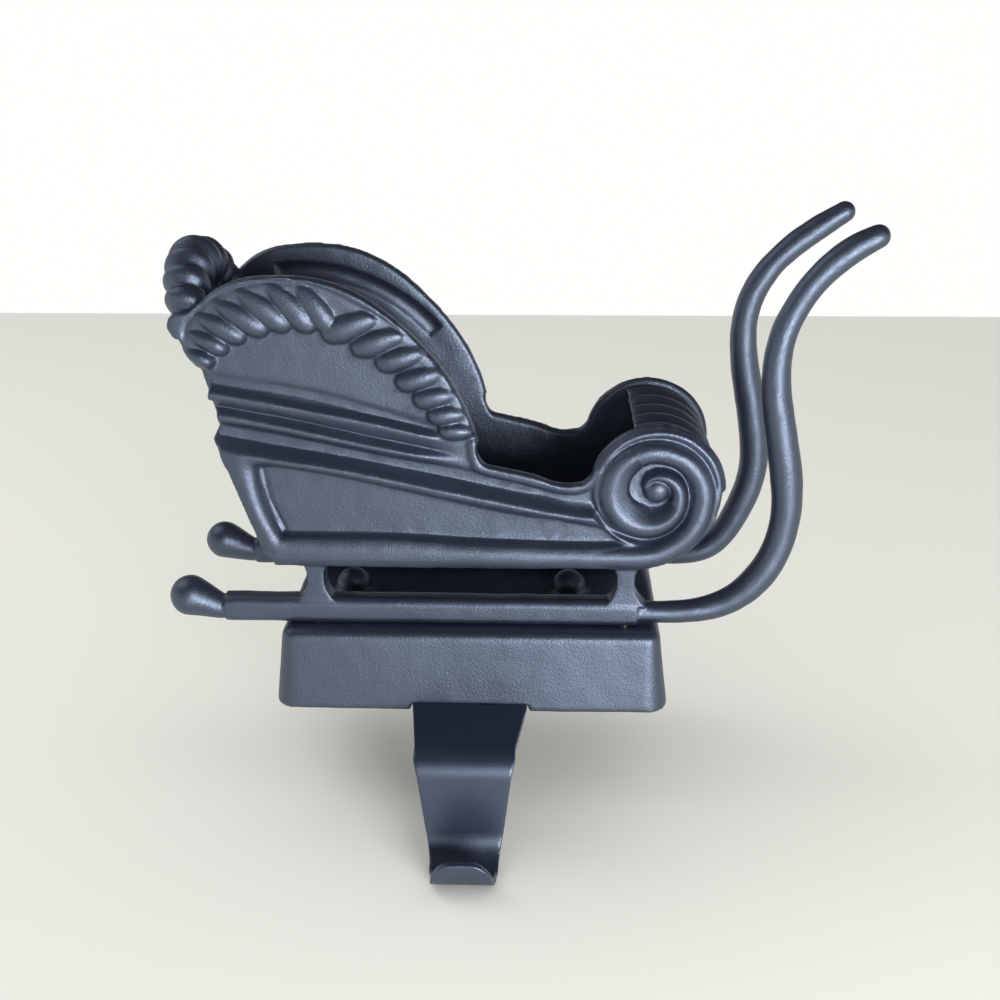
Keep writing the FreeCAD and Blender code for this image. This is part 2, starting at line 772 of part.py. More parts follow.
def back():
    """Leaning back sheet: a thicker lower part and an arched upper part."""
    y = -inner_width / 2
    width = inner_width
    sx, sz = body_step
    t = back_thickness
    corner = rear_corner_arc(y)
    lower = [corner]
    lower += polyline([
        corner.lastVertex().Point, side_point(*body_rear_top, y), side_point(sx, sz, y),
        side_point(sx + t, sz, y), side_point(body_rear_x + rear_corner, floor_thickness, y),
        corner.firstVertex().Point,
    ])
    lower = prism(lower, V(0, width, 0))
    mx, mz = roll_middle
    upper = polyline([
        side_point(sx, sz - 2, y), side_point(mx - t / 2, mz, y), side_point(mx + t / 2, mz, y),
        side_point(sx + t, sz - 2, y), side_point(sx, sz - 2, y),
    ])
    upper = prism(upper, V(0, width, 0))
    end_x, end_z = roll_end
    front_x = end_x + half_cabin
    arch_y = half_cabin + roll_overhang
    low = sz - 4
    arch = [
        arc(side_point(front_x, end_z, -arch_y), side_point(front_x, mz, 0),
            side_point(front_x, end_z, arch_y)),
    ]
    arch += polyline([
        side_point(front_x, end_z, arch_y), side_point(front_x, low, arch_y),
        side_point(front_x, low, -arch_y), side_point(front_x, end_z, -arch_y),
    ])
    return [lower, upper.common(prism(arch, V(-2 * half_cabin, 0, 0)))]


def dash():
    """Curled front: a bent sheet with round ribs running over it."""
    cx, cz = scroll_centre
    width = inner_width
    y = -width / 2
    outer = scroll_radius - dash_inset
    inner = outer - dash_thickness
    nose_x = cx + scroll_radius - nose_radius
    nose_outer = nose_radius - dash_inset
    nose_inner = nose_outer - dash_thickness
    end = math.radians(dash_end_deg)

    def over(radius, angle, yy):
        return side_point(cx + radius * math.cos(angle), cz + radius * math.sin(angle), yy)

    def under(radius, angle, yy):
        return side_point(nose_x + radius * math.cos(angle), cz + radius * math.sin(angle), yy)

    foot = -math.pi / 2
    edges = [
        arc(under(nose_outer, foot, y), under(nose_outer, foot / 2, y), under(nose_outer, 0, y)),
        arc(over(outer, 0, y), over(outer, end / 2, y), over(outer, end, y)),
        Part.makeLine(over(outer, end, y), over(inner, end, y)),
        arc(over(inner, end, y), over(inner, end / 2, y), over(inner, 0, y)),
        arc(under(nose_inner, 0, y), under(nose_inner, foot / 2, y), under(nose_inner, foot, y)),
        Part.makeLine(under(nose_inner, foot, y), under(nose_outer, foot, y)),
    ]
    pieces = [prism(edges, V(0, width, 0))]
    rise = dash_rib_stand - dash_rib_radius
    start = math.radians(dash_foot_deg)
    pitch = cabin_width / dash_rib_count
    for i in range(dash_rib_count):
        rib_y = -half_cabin + pitch * (i + 0.5)
        path = Part.Wire([
            arc(under(nose_outer + rise, start, rib_y), under(nose_outer + rise, start / 2, rib_y),
                under(nose_outer + rise, 0, rib_y)),
            arc(over(outer + rise, 0, rib_y), over(outer + rise, end / 2, rib_y),
                over(outer + rise, end, rib_y)),
        ])
        heading = V(-math.sin(start), 0, math.cos(start))
        circle = ring(under(nose_outer + rise, start, rib_y), heading, dash_rib_radius)
        pieces.append(path.makePipeShell([circle], True, True))
    return pieces


def runner(side):
    """One runner: knob, bar, two posts and the shaft; side is -1 near, +1 far."""
    y = side * half_spacing
    z = base_height
    front = post_x + post_flare
    bar = Part.makeBox(front - bar_rear_x, bar_width, bar_height, V(bar_rear_x, y - bar_width / 2, z))
    long_edges = [e for e in bar.Edges if e.BoundBox.XLength > bar_height * 2]
    bar = bar.makeFillet(bar_round, long_edges)
    fat = V(knob_centre[0], y, z + knob_centre[1])
    thin = V(neck_centre[0], y, z + neck_centre[1])
    along = (fat - thin).normalize()
    length = (fat - thin).Length + knob_radius + neck_radius
    pieces = [bar, teardrop(thin - along * neck_radius, along, length, knob_radius, neck_radius)]
    for x in (-post_x, post_x):
        pieces.append(post(x, y))
    pieces += shaft(side, y)
    return pieces


def post(x, y):
    """Post between bar and body, flared at both ends."""
    low = base_height + bar_height - post_sink
    high = base_height + bar_height + post_height + post_sink
    mid = (low + high) / 2
    waist = post_waist / 2
    flare = waist + post_flare
    y0 = y - post_depth / 2
    edges = [
        Part.makeLine(V(x - flare, y0, low), V(x + flare, y0, low)),
        arc(V(x + flare, y0, low), V(x + waist, y0, mid), V(x + flare, y0, high)),
        Part.makeLine(V(x + flare, y0, high), V(x - flare, y0, high)),
        arc(V(x - flare, y0, high), V(x - waist, y0, mid), V(x - flare, y0, low)),
    ]
    return prism(edges, V(0, post_depth, 0))


def shaft(side, y):
    """Curved shaft that rises from the front of the bar; each bows its own way."""
    bow = -side * shaft_bow
    centre = shaft_start_height
    points = [
        (post_x + post_flare - weld, centre), (54.0, centre + 0.1), (65.2, 6.3), (73.4 + bow, 16.0),
        (77.3 + bow, 29.0), (76.6 + bow, 42.0), (74.4 + bow, 53.5), (72.7 + bow, 64.0),
        (73.1 + bow, 74.0), (77.4 + bow * 0.7, 84.2), (84.6, 92.3), (94.9, 99.3),
    ]
    points = [V(px, y, base_height + pz) for px, pz in points]
    radius_at = blend(*shaft_radii)
    bar = tapered_bar(points, radius_at, len(shaft_radii))
    tip = Part.makeSphere(shaft_radii[-1], points[-1])
    return [bar, tip]


def make_sleigh():
    """The sleigh casting: both sides, floor, back, roll, dash and runners."""
    side = make_side()
    floor_start = body_rear_x + rear_corner
    floor_end = scroll_centre[0] + scroll_radius - nose_radius + weld
    floor = Part.makeBox(
        floor_end - floor_start, inner_width, floor_thickness,
        V(floor_start, -inner_width / 2, body_z)
    )
    sleigh = side.fuse([side.mirror(CENTRE, ACROSS), floor])
    for group in (back(), dash(), roll(), runner(-1), runner(1)):
        sleigh = sleigh.fuse(group[0].fuse(group[1:]))
    for x, y in sleigh_screw_places():
        sleigh = sleigh.cut(Part.makeCylinder(
            (sleigh_screw_shank + thread_clearance) / 2, sleigh_screw_grip + screw_tip_gap,
            V(x, y, base_height), UP
        ))
    return sleigh


def main():
    """Write every piece as its own STEP file."""
    os.makedirs("parts", exist_ok=True)
    pieces = {
        "base": make_base(),
        "sleigh": make_sleigh(),
        "stocking_hook": make_hook(),
        "hook_screws": make_hook_screws(),
        "sleigh_screws": make_sleigh_screws(),
    }
    for name, shape in pieces.items():
        shape.exportStep("parts/" + name + ".step")
        box = shape.BoundBox
        print(name, "solids", len(shape.Solids), "valid", shape.isValid(),
              "volume", round(shape.Volume), "box",
              [round(v, 1) for v in (box.XMin, box.YMin, box.ZMin, box.XMax, box.YMax, box.ZMax)])


main()
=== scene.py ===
# %% [markdown]
# # A cast-iron sleigh stocking holder
#
# The object is a small sleigh cast in iron, standing on a hollow cast base. A
# flat steel strip comes out from under the base, turns down in front of the
# mantel and curls up into a lip. Everything is sprayed in one satin black
# paint. Its exact shapes come from the CAD model. Here each casting gets what
# a CAD model leaves out: edges rounded by the sand mould and by thick paint,
# a surface that is never quite flat, and the fine grain of cast iron.

# %% Load the CAD model
import math

import bmesh
import bpy
import numpy as np
from mathutils import Matrix, Vector, noise
from mathutils.bvhtree import BVHTree


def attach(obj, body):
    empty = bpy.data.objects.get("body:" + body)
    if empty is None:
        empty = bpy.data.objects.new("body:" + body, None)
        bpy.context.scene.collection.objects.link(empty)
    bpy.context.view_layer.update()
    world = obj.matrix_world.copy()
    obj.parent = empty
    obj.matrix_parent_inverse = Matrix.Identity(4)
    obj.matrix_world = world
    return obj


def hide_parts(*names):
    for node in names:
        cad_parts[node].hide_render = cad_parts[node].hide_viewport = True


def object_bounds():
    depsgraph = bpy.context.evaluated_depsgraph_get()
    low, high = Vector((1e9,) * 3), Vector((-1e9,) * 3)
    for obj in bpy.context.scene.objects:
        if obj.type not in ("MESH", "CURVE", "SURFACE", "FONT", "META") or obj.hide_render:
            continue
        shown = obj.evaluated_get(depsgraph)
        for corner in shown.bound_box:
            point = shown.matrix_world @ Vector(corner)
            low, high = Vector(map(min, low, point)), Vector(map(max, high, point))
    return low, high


MM = 0.001

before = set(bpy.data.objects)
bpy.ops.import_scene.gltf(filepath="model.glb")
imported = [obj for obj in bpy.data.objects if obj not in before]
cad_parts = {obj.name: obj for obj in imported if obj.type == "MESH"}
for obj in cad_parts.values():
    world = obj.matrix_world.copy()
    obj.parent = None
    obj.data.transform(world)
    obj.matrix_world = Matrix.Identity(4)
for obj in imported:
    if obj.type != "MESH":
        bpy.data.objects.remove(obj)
scene = bpy.context.scene
cad_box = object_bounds()
print("CAD nodes:", sorted(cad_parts))
print("CAD box in mm:", [[round(v / MM, 1) for v in corner] for corner in cad_box])

# %% [markdown]
# ## Camera
#
# A photograph taken close to a small object has strong perspective: here the
# two sides of the base converge towards a point near the top of the frame.
# The camera's place and tilt were worked out from the base's straight edges,
# so that the model can be laid over the photograph. A camera could also be
# moved by eye, but the two sides of the sleigh would never line up that way.

# %% Camera at the photograph's viewing angle
CAMERA_PLACE_MM = (19.8, -321.8, 171.0)
CAMERA_TILT_DEG = 20.99
CAMERA_TURN_DEG = 2.29
CAMERA_ROLL_DEG = -0.28
LENS_MM = 46.8
SENSOR_MM = 36.0
NEAREST_SEEN = 10 * MM

camera_data = bpy.data.cameras.new("photo_camera")
camera_data.lens = LENS_MM
camera_data.sensor_width = SENSOR_MM
camera_data.clip_start = NEAREST_SEEN
camera = bpy.data.objects.new("photo_camera", camera_data)
scene.collection.objects.link(camera)
scene.camera = camera
aim = Matrix.Rotation(math.radians(CAMERA_TURN_DEG), 4, "Z")
aim = aim @ Matrix.Rotation(math.radians(90 - CAMERA_TILT_DEG), 4, "X")
aim = aim @ Matrix.Rotation(math.radians(CAMERA_ROLL_DEG), 4, "Z")
camera.matrix_world = Matrix.Translation(Vector(CAMERA_PLACE_MM) * MM) @ aim
print("camera stands", round(Vector(CAMERA_PLACE_MM).length), "mm from the base")

# %% [markdown]
# ## A mesh to work on
#
# The CAD model arrives as loose triangles: each one has its own three corners,
# even where it touches its neighbour. Nothing can be rounded before they are
# joined. The CAD node itself is left alone, and a copy of its mesh is joined
# corner to corner. Modifiers do most of the shaping, and each is turned into
# plain mesh at once, because the carving below needs to reach its corners.


# %% A joined copy of a CAD node, and modifiers made into mesh
SAME_CORNER_MM = 0.002


def merged_copy(node, name):
    """A copy of a CAD node's mesh with its loose triangles joined."""
    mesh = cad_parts[node].data.copy()
    mesh.name = name
    mesh.materials.clear()
    shape = bmesh.new()
    shape.from_mesh(mesh)
    bmesh.ops.remove_doubles(shape, verts=shape.verts, dist=SAME_CORNER_MM * MM)
    shape.to_mesh(mesh)
    shape.free()
    piece = bpy.data.objects.new(name, mesh)
    scene.collection.objects.link(piece)
    print(name, "starts with", len(mesh.vertices), "corners")
    return piece


def settle(piece):
    """Turn a piece's modifiers into its mesh."""
    seen = piece.evaluated_get(bpy.context.evaluated_depsgraph_get())
    mesh = bpy.data.meshes.new_from_object(seen)
    piece.modifiers.clear()
    old = piece.data
    piece.data = mesh
    mesh.name = piece.name
    bpy.data.meshes.remove(old)


# %% [markdown]
# ## Corners rounded by the mould
#
# A sand casting has no sharp edge anywhere: the mould rounds outside corners,
# the metal fills inside ones, and paint softens both. Beveling hundreds of
# edges where ridges and lobes run into each other would be hopeless. A voxel
# remesh takes the shape as a lump of even small faces instead, and smoothing
# those faces rounds every corner by the same few tenths of a millimetre, just
# as a mould does.

# %% Even faces and soft corners
SMOOTHING = 0.5


def soften(piece, rounds, group=""):
    """Some rounds of smoothing, all over or in one group of places."""
    softer = piece.modifiers.new("soft corners", "SMOOTH")
    softer.factor = SMOOTHING
    softer.iterations = rounds
    softer.vertex_group = group
    settle(piece)


def remesh(piece, voxel_mm, rounds):
    """Even small faces all over, then corners rounded by smoothing."""
    voxels = piece.modifiers.new("even faces", "REMESH")
    voxels.mode = "VOXEL"
    voxels.voxel_size = voxel_mm * MM
    settle(piece)
    soften(piece, rounds)
    print(piece.name, "has", len(piece.data.vertices), "corners, even and soft")


# %% [markdown]
# ## Faces that are never quite flat
#
# Sand gives way a little under the hot iron, and brushed paint dries in low
# waves. Soft noise moves each corner in or out along its own direction, in two
# sizes of wave. A bump in the material could draw the same waves, but then the
# outline would stay as straight as a ruler, and light would glide over it.


# %% Unevenness
def uneven(piece, waves):
    """Move each corner in or out a little, by waves of (size, height) in mm."""
    shape = bmesh.new()
    shape.from_mesh(piece.data)
    shape.normal_update()
    for vert in shape.verts:
        shift = 0.0
        for size_mm, height_mm in waves:
            shift += noise.noise(vert.co / (size_mm * MM)) * height_mm
        vert.co += vert.normal * shift * MM
    shape.to_mesh(piece.data)
    shape.free()


# %% [markdown]
# ## Fewer faces where the shape is flat
#
# The remesh puts as many faces on a flat wall as on a tight curl. Decimate takes
# most of them away where nothing bends, and keeps them where the relief is fine.
# It comes last, because smoothing and noise need even faces to work on.


# %% Thinning out
def thin_out(piece, triangles):
    """Fewer faces where the surface is flat."""
    count = sum(len(face.vertices) - 2 for face in piece.data.polygons)
    if count > triangles:
        fewer = piece.modifiers.new("fewer faces", "DECIMATE")
        fewer.ratio = triangles / count
        settle(piece)
    for face in piece.data.polygons:
        face.use_smooth = True
    print(piece.name, "faces", len(piece.data.polygons), "from", count)


# %% [markdown]
# ## Carving the sides
#
# Each side of the sleigh is a low relief: soft ridges, a sunk panel in a
# rounded frame, a sill that winds up into a scroll, and a fan of lobes along
# the crest. The pattern maker carved them into one flat face, and the same is
# done here. The relief is written as a height over the side for every place
# (x, z), in mm along the sleigh and above its underside, and the mesh is then
# pressed to that height. Ridges modelled as pieces of their own would leave
# hard seams between them, which a carved face doesn't have.

# %% Levels of the carved face, in mm from the sleigh's middle
FIELD = 22.4
TUB = 23.5
LOWEST = 21.3
print("the tub stands", round(TUB - FIELD, 1), "mm proud of the field above it")

# %% [markdown]
# ## Lines drawn on the side
#
# A carver first draws lines on the wood. Each line here is a few points joined
# by a smooth curve that passes through all of them. What is carved along a line
# depends on three things: how far a place is from it, how far along it that is,
# and on which side of it. A curve object could hold the line, but these three
# measures would have to be worked out from it all the same.


# %% Smooth lines and the distance from them
def smooth_line(points, steps=10):
    """Places along a smooth curve through a few (x, z) points of the side."""
    marks = [Vector(point) for point in points]
    marks = [marks[0] * 2 - marks[1]] + marks + [marks[-1] * 2 - marks[-2]]
    places = []
    for a, b, c, d in zip(marks, marks[1:], marks[2:], marks[3:]):
        bend = a * 2 - b * 5 + c * 4 - d
        twist = b * 3 - a - c * 3 + d
        for step in range(steps):
            t = step / steps
            places.append((b * 2 + (c - a) * t + bend * t ** 2 + twist * t ** 3) / 2)
    places.append(marks[-2])
    return np.array([tuple(place) for place in places])


def from_places(x, z, places):
    """Distance from a line of places, share along it, and side of it."""
    near = np.full(x.shape, 1e9)
    along = np.zeros(x.shape)
    side = np.zeros(x.shape)
    for i in range(len(places) - 1):
        a, step = places[i], places[i + 1] - places[i]
        t = ((x - a[0]) * step[0] + (z - a[1]) * step[1]) / step.dot(step)
        t = np.clip(t, 0, 1)
        dx = x - a[0] - t * step[0]
        dz = z - a[1] - t * step[1]
        gap = np.hypot(dx, dz)
        closer = gap < near
        near[closer] = gap[closer]
        along[closer] = (i + t[closer]) / (len(places) - 1)
        side[closer] = np.sign(step[0] * dz - step[1] * dx)[closer]
    return near, along, side


def from_line(x, z, points):
    """The same for the smooth line through a few points."""
    return from_places(x, z, smooth_line(points))


# %% [markdown]
# ## Humps and ramps
#
# Three gouges do all the work. A round one leaves a hump that meets the ground
# steeply, a soft one leaves a hump that fades into it, and a ramp joins two
# levels without a step. Each gives a number from 0 to 1, which is then
# multiplied by a height. Sculpt mode has brushes much like them, but a formula
# leaves the same hump all along a moulding and on both sides of the sleigh.


# %% Round hump, soft hump and ramp
def rounded(gap, half_width):
    """Round hump of height 1 that meets the ground steeply."""
    return np.sqrt(np.clip(1 - (gap / half_width) ** 2, 0, 1))


def soft(gap, half_width):
    """Soft hump of height 1 that fades into the ground."""
    return 0.5 + 0.5 * np.cos(np.pi * np.clip(gap / half_width, 0, 1))


def ramp(value, start, end):
    """0 before start, 1 after end, smooth between."""
    t = np.clip((value - start) / (end - start), 0, 1)
    return t * t * (3 - 2 * t)


# %% [markdown]
# ## Field and tub
#
# The side has two levels. The field under the crest lies deeper, and the tub
# below it bulges out over a shoulder that falls from the back to the scroll.
# The shoulder could be a loop of edges with a bevel, but its corners would have
# to be matched to everything that crosses it. A ramp across one line needs none.

# %% Two levels with a soft step
SHOULDER_TOP = (
    (-62.0, 32.6), (-45.0, 29.6), (-28.5, 26.9), (3.0, 20.4), (24.0, 16.0), (33.0, 15.4),
)
SHOULDER_STEP = (-1.6, 2.4)


def tub_share(x, z):
    """0 on the field, 1 on the tub, and between them on the shoulder."""
    gap, _, side = from_line(x, z, SHOULDER_TOP)
    return ramp(-side * gap, *SHOULDER_STEP)


# %% [markdown]
# ## Coves and ridges
#
# Two mouldings run down the side from the back: a ridge with a cove above it,
# and a second ridge with a deeper cove below. They are closest together at the
# front, where they run out. A ridge is steep on top and slopes away below it,
# so that its upper edge catches the light. The usual way to a moulding is a
# profile swept along a curve. These fade into the face instead, and the end of
# a sweep would have to be hidden.

# %% Coves and ridges
UPPER_COVE = ((-63.0, 47.6), (-39.0, 43.8), (-20.3, 38.9), (-5.0, 34.6))
DEEP_COVE = (
    (-61.0, 35.0), (-45.0, 31.9), (-30.0, 29.2), (-4.7, 24.0), (14.0, 19.6), (27.0, 17.6),
)
# line, depth, half width, share of the depth that is lost between two shares
# of the line, and the share of the line where the cove starts to run out
COVES = (
    (UPPER_COVE, 1.0, 2.4, 0.5, 0.4, 1.0, 0.9),
    (DEEP_COVE, 1.5, 3.0, 0.3, 0.3, 0.8, 0.75),
)
UPPER_RIDGE = ((-63.5, 44.6), (-39.0, 40.0), (-20.2, 36.2), (0.0, 31.4))
LOWER_RIDGE = ((-61.5, 39.0), (-43.1, 35.4), (-24.2, 31.3), (1.0, 26.4))
RIDGE_HEIGHT = 1.6
RIDGE_REACH_UP = 1.9
RIDGE_REACH_DOWN = 3.3
CREASE = ((-61.5, 41.1), (-43.0, 37.7), (-24.2, 33.5), (0.5, 28.3))
CREASE_DEPTH = 0.5
CREASE_HALF_WIDTH = 0.8
RIDGE_END = 0.8


def cut_coves(x, z, height):
    """Both coves, each shallower towards the front."""
    for points, depth, half_width, loss, thin_from, thin_to, end in COVES:
        gap, along, _ = from_line(x, z, points)
        fade = (1 - loss * ramp(along, thin_from, thin_to)) * (1 - ramp(along, end, 1.0))
        height = height - depth * soft(gap, half_width) * fade
    return height


def raise_ridges(x, z, height):
    """Both ridges, and the fine crease between them."""
    for points in (UPPER_RIDGE, LOWER_RIDGE):
        gap, along, side = from_line(x, z, points)
        reach = np.where(side > 0, RIDGE_REACH_UP, RIDGE_REACH_DOWN)
        ending = 1 - ramp(along, RIDGE_END, 1.0)
        height = height + RIDGE_HEIGHT * soft(gap, reach) * ending
    gap, along, _ = from_line(x, z, CREASE)
    ending = 1 - ramp(along, RIDGE_END, 1.0)
    return height - CREASE_DEPTH * soft(gap, CREASE_HALF_WIDTH) * ending


# %% [markdown]
# ## Sunk panel
#
# The tub has a long panel that narrows towards the scroll. Round it the face is
# pillowed: it rises from the panel's edge, is highest half way, and falls again
# to the outer edge, so a place's height depends on its distance to both. The
# panel itself is flat and a little lower, with a fine step along its left end.
# An inset pushed inwards would make a panel too, but the frame would stay flat.

# %% Where the panel is
PANEL_TOP = (
    (-51.9, 25.0), (-50.4, 25.9), (-39.3, 24.6), (-25.4, 21.9),
    (3.6, 15.3), (24.0, 12.0), (36.0, 9.6), (45.0, 6.2),
)
PANEL_BOTTOM = ((45.0, 6.2), (26.0, 5.8), (3.5, 6.4), (-18.3, 7.6), (-46.9, 7.7))
PANEL_LEFT = ((-46.9, 7.7), (-50.6, 17.1), (-51.9, 25.0))


def outside(x, z, outline):
    """True where a place is outside a closed outline."""
    within = np.zeros(x.shape, bool)
    for a, b in zip(outline, np.roll(outline, -1, axis=0)):
        if a[1] == b[1]:
            continue
        crosses = (z > a[1]) != (z > b[1])
        within ^= crosses & (x < a[0] + (z - a[1]) * (b[0] - a[0]) / (b[1] - a[1]))
    return ~within


# %% [markdown]
# ## Pillowed frame round the panel
#
# The outer edge of the frame is the underside, the sloping back and the
# shoulder together. Their distances are joined into one that follows the
# nearest of them and turns the corners softly, which a plain minimum would
# leave as a crease.

# %% Panel and frame
PANEL_END = 44
BACK_FOOT = -50.6
BACK_LEAN = 0.356
BACK_COSINE = 0.94
# how far beyond the underside, the back and the shoulder the frame ends
BELOW_UNDERSIDE, BEHIND_BACK, OVER_SHOULDER = 1.3, 0.5, 0.6
CORNER_POWER = 4.0
LEAST_GAP = 0.05
FRAME_HEIGHT = 1.9
FRAME_FULLNESS = 0.8
FRAME_FADE = (30, 44)
FADE_BELOW = 13
PANEL_DEPTH, PANEL_WALL = 0.8, 0.7
FOOT_DEPTH, FOOT_WALL = 0.35, 0.5
STEP_DEPTH, STEP_PLACE, STEP_WIDTH = 0.3, 1.4, 0.5
STEP_CLEAR = 0.8
EDGE_DEPTH, EDGE_HALF_WIDTH = 0.55, 0.6
EDGE_FADE = (36, 44)


def frame_outer_edge(x, z):
    """Distance of a place from the frame's outer edge."""
    back = (x - BACK_FOOT + z * BACK_LEAN) * BACK_COSINE
    shoulder = from_line(x, z, SHOULDER_TOP)[0]
    walls = (z + BELOW_UNDERSIDE, back + BEHIND_BACK, shoulder + OVER_SHOULDER)
    walls = [np.clip(wall, LEAST_GAP, None) for wall in walls]
    return sum(wall ** -CORNER_POWER for wall in walls) ** (-1 / CORNER_POWER)


def sink_panel(x, z, height, tub):
    """The pillowed frame, and the panel sunk inside it."""
    edges = [smooth_line(points) for points in (PANEL_TOP, PANEL_BOTTOM, PANEL_LEFT)]
    top, bottom, left = edges
    out = outside(x, z, np.concatenate([top, bottom[1:], left[1:-1]]))
    from_top, from_bottom, from_left = (from_places(x, z, edge)[0] for edge in edges)
    inner = np.minimum(np.minimum(from_top, from_bottom), from_left)
    t = inner / (inner + frame_outer_edge(x, z))
    pillow = (4 * t * (1 - t)) ** FRAME_FULLNESS
    fade = 1 - ramp(x, *FRAME_FADE) * (z < FADE_BELOW)
    height = height + FRAME_HEIGHT * pillow * (tub * out * (x < PANEL_END)) * fade
    step = soft(from_left - STEP_PLACE, STEP_WIDTH) * (inner > STEP_CLEAR)
    ledge = PANEL_DEPTH * ramp(inner, 0.0, PANEL_WALL) + STEP_DEPTH * step
    ledge = ledge + FOOT_DEPTH * ramp(from_bottom, 0.0, FOOT_WALL)
    height = height - np.where(out, 0, ledge)
    groove = EDGE_DEPTH * soft(inner, EDGE_HALF_WIDTH) * tub * (x < PANEL_END)
    return height - groove * (1 - ramp(x, *EDGE_FADE))


# %% [markdown]
# ## Scroll
#
# The sill is one ridge that runs the whole length of the sleigh and then winds
# up into a spiral. The spiral is drawn as a joiner draws it, from quarter
# circles: each quarter has a smaller radius than the last, and its centre is
# moved so that the two meet without a kink. The ridge gets thinner as it winds
# in, its inner flank slopes gently into the bowl, and a round eye sits in the
# middle. A spiral from one formula would wind in evenly, which the cast one
# doesn't.

# %% The ridge's line
SPIRAL_START = (41.7, 2.4)
SILL_BACK = -70.0
SPIRAL_RADII = (16.0, 11.7, 10.7, 8.5, 8.0, 5.2, 3.4)
QUARTER_STEPS = 9
SILL_POINTS = 2


def spiral():
    """Centre line of the ridge that runs along the sill and winds into the scroll."""
    places = [(SILL_BACK, SPIRAL_START[1]), (0.0, SPIRAL_START[1])]
    cx, cz = SPIRAL_START[0], SPIRAL_START[1] + SPIRAL_RADII[0]
    for turn, radius in enumerate(SPIRAL_RADII):
        start = math.radians(-90 + 90 * turn)
        if turn:
            shift = SPIRAL_RADII[turn - 1] - radius
            cx, cz = cx + shift * math.cos(start), cz + shift * math.sin(start)
        for step in range(QUARTER_STEPS):
            angle = start + math.radians(90 * step / QUARTER_STEPS)
            places.append((cx + radius * math.cos(angle), cz + radius * math.sin(angle)))
    return np.array(places)


print("the scroll's ridge winds in over", len(SPIRAL_RADII), "quarter turns")

# %% [markdown]
# ## Disc, ridge and eye
#
# The scroll is built up in layers, as it was carved: a disc with a thin rim and
# a shallow bowl, the ridge that winds over it, the eye, and last the crease
# where the tub meets the disc. At each place the highest layer wins. Pieces
# joined by a Boolean would look the same from afar, with a sharp line round
# each of them.

# %% Disc, ridge and eye of the scroll
SCROLL = (46.4, 19.7)
SCROLL_RADIUS = 15.8
DISC = 22.6
DISC_RIM = 0.9
DISC_RIM_START, DISC_RIM_END = 2.2, 1.0
DISC_BLEND = 0.6
BOWL_DEPTH = 1.3
BOWL = (6.5, 8.5)
SPIRAL_HALF_WIDTHS = (3.1, 2.9, 2.9, 3.8, 3.5, 2.3, 1.7, 0.6)
# reach of the ridge's inner flank, as (quarter turn, reach)
INNER_FLANK = (
    (0.0, 3.1), (2.2, 2.9), (2.6, 4.6), (3.0, 6.4), (3.5, 6.8),
    (4.0, 5.4), (4.6, 3.0), (5.0, 2.3), (7.0, 0.6),
)
FLANK_TURNS = (2.3, 4.8)
FLANK_POWER = 1.5
SILL_OVER_TUB = 1.9
SILL_DROP = 0.9
SILL_DROP_TURNS = (5, 7)
SILL_RISE = 3.1
SILL_RISE_MORE = 0.8
SILL_RISE_TURNS = (2.6, 3.4)
EYE = (46.3, 20.4)
EYE_RADIUS = 3.5
EYE_FOOT, EYE_HEIGHT = 22.0, 3.1
SCROLL_CREASE = (
    (30.6, 18.5), (31.4, 14.6), (34.6, 10.4), (39.0, 7.9),
    (44.5, 6.9), (50.0, 8.6), (54.0, 13.2), (55.0, 18.5),
)
SCROLL_CREASE_DEPTH, SCROLL_CREASE_HALF_WIDTH = 1.0, 0.9
SCROLL_CREASE_START = (0.0, 0.15)
SCROLL_CREASE_END = (0.7, 1.0)


def lay_disc(x, z, height):
    """The scroll's disc, with a thin rim and a bowl round the eye."""
    radius = np.hypot(x - SCROLL[0], z - SCROLL[1])
    eye_gap = np.hypot(x - EYE[0], z - EYE[1])
    rim = ramp(radius, SCROLL_RADIUS - DISC_RIM_START, SCROLL_RADIUS - DISC_RIM_END)
    disc = DISC + DISC_RIM * rim - BOWL_DEPTH * (1 - ramp(eye_gap, *BOWL))
    blend = ramp(radius, SCROLL_RADIUS - DISC_BLEND, SCROLL_RADIUS + DISC_BLEND)
    return disc * (1 - blend) + height * blend


def wind_ridge(x, z, height):
    """The sill's ridge that winds over the disc, from its outer turn to the eye."""
    line = spiral()
    gap, along, side = from_places(x, z, line)
    turn = (along * (len(line) - 1) - SILL_POINTS) / QUARTER_STEPS
    turn = np.clip(turn, 0, len(SPIRAL_RADII))
    width = np.interp(turn, range(len(SPIRAL_HALF_WIDTHS)), SPIRAL_HALF_WIDTHS)
    flank = np.interp(turn, *zip(*INNER_FLANK))
    inward = (side > 0) & (turn > FLANK_TURNS[0]) & (turn < FLANK_TURNS[1])
    gentle = np.clip(1 - (gap / flank) ** FLANK_POWER, 0, 1)
    profile = np.where(inward, gentle, rounded(gap, width))
    drop = SILL_DROP * ramp(turn, *SILL_DROP_TURNS)
    rise = SILL_RISE + SILL_RISE_MORE * ramp(turn, *SILL_RISE_TURNS) - drop
    crest = TUB + SILL_OVER_TUB - drop - rise * (1 - profile)
    reach = np.where(inward, flank, width)
    return np.where(gap < reach, np.maximum(height, crest), height)


def set_eye(x, z, height):
    """The round eye, and the crease where the tub meets the disc."""
    eye_gap = np.hypot(x - EYE[0], z - EYE[1])
    eye = EYE_FOOT + EYE_HEIGHT * rounded(eye_gap, EYE_RADIUS)
    height = np.where(eye_gap < EYE_RADIUS, np.maximum(height, eye), height)
    gap, along, _ = from_line(x, z, SCROLL_CREASE)
    crease = SCROLL_CREASE_DEPTH * soft(gap, SCROLL_CREASE_HALF_WIDTH)
    crease = crease * (1 - ramp(along, *SCROLL_CREASE_END))
    return height - crease * ramp(along, *SCROLL_CREASE_START)


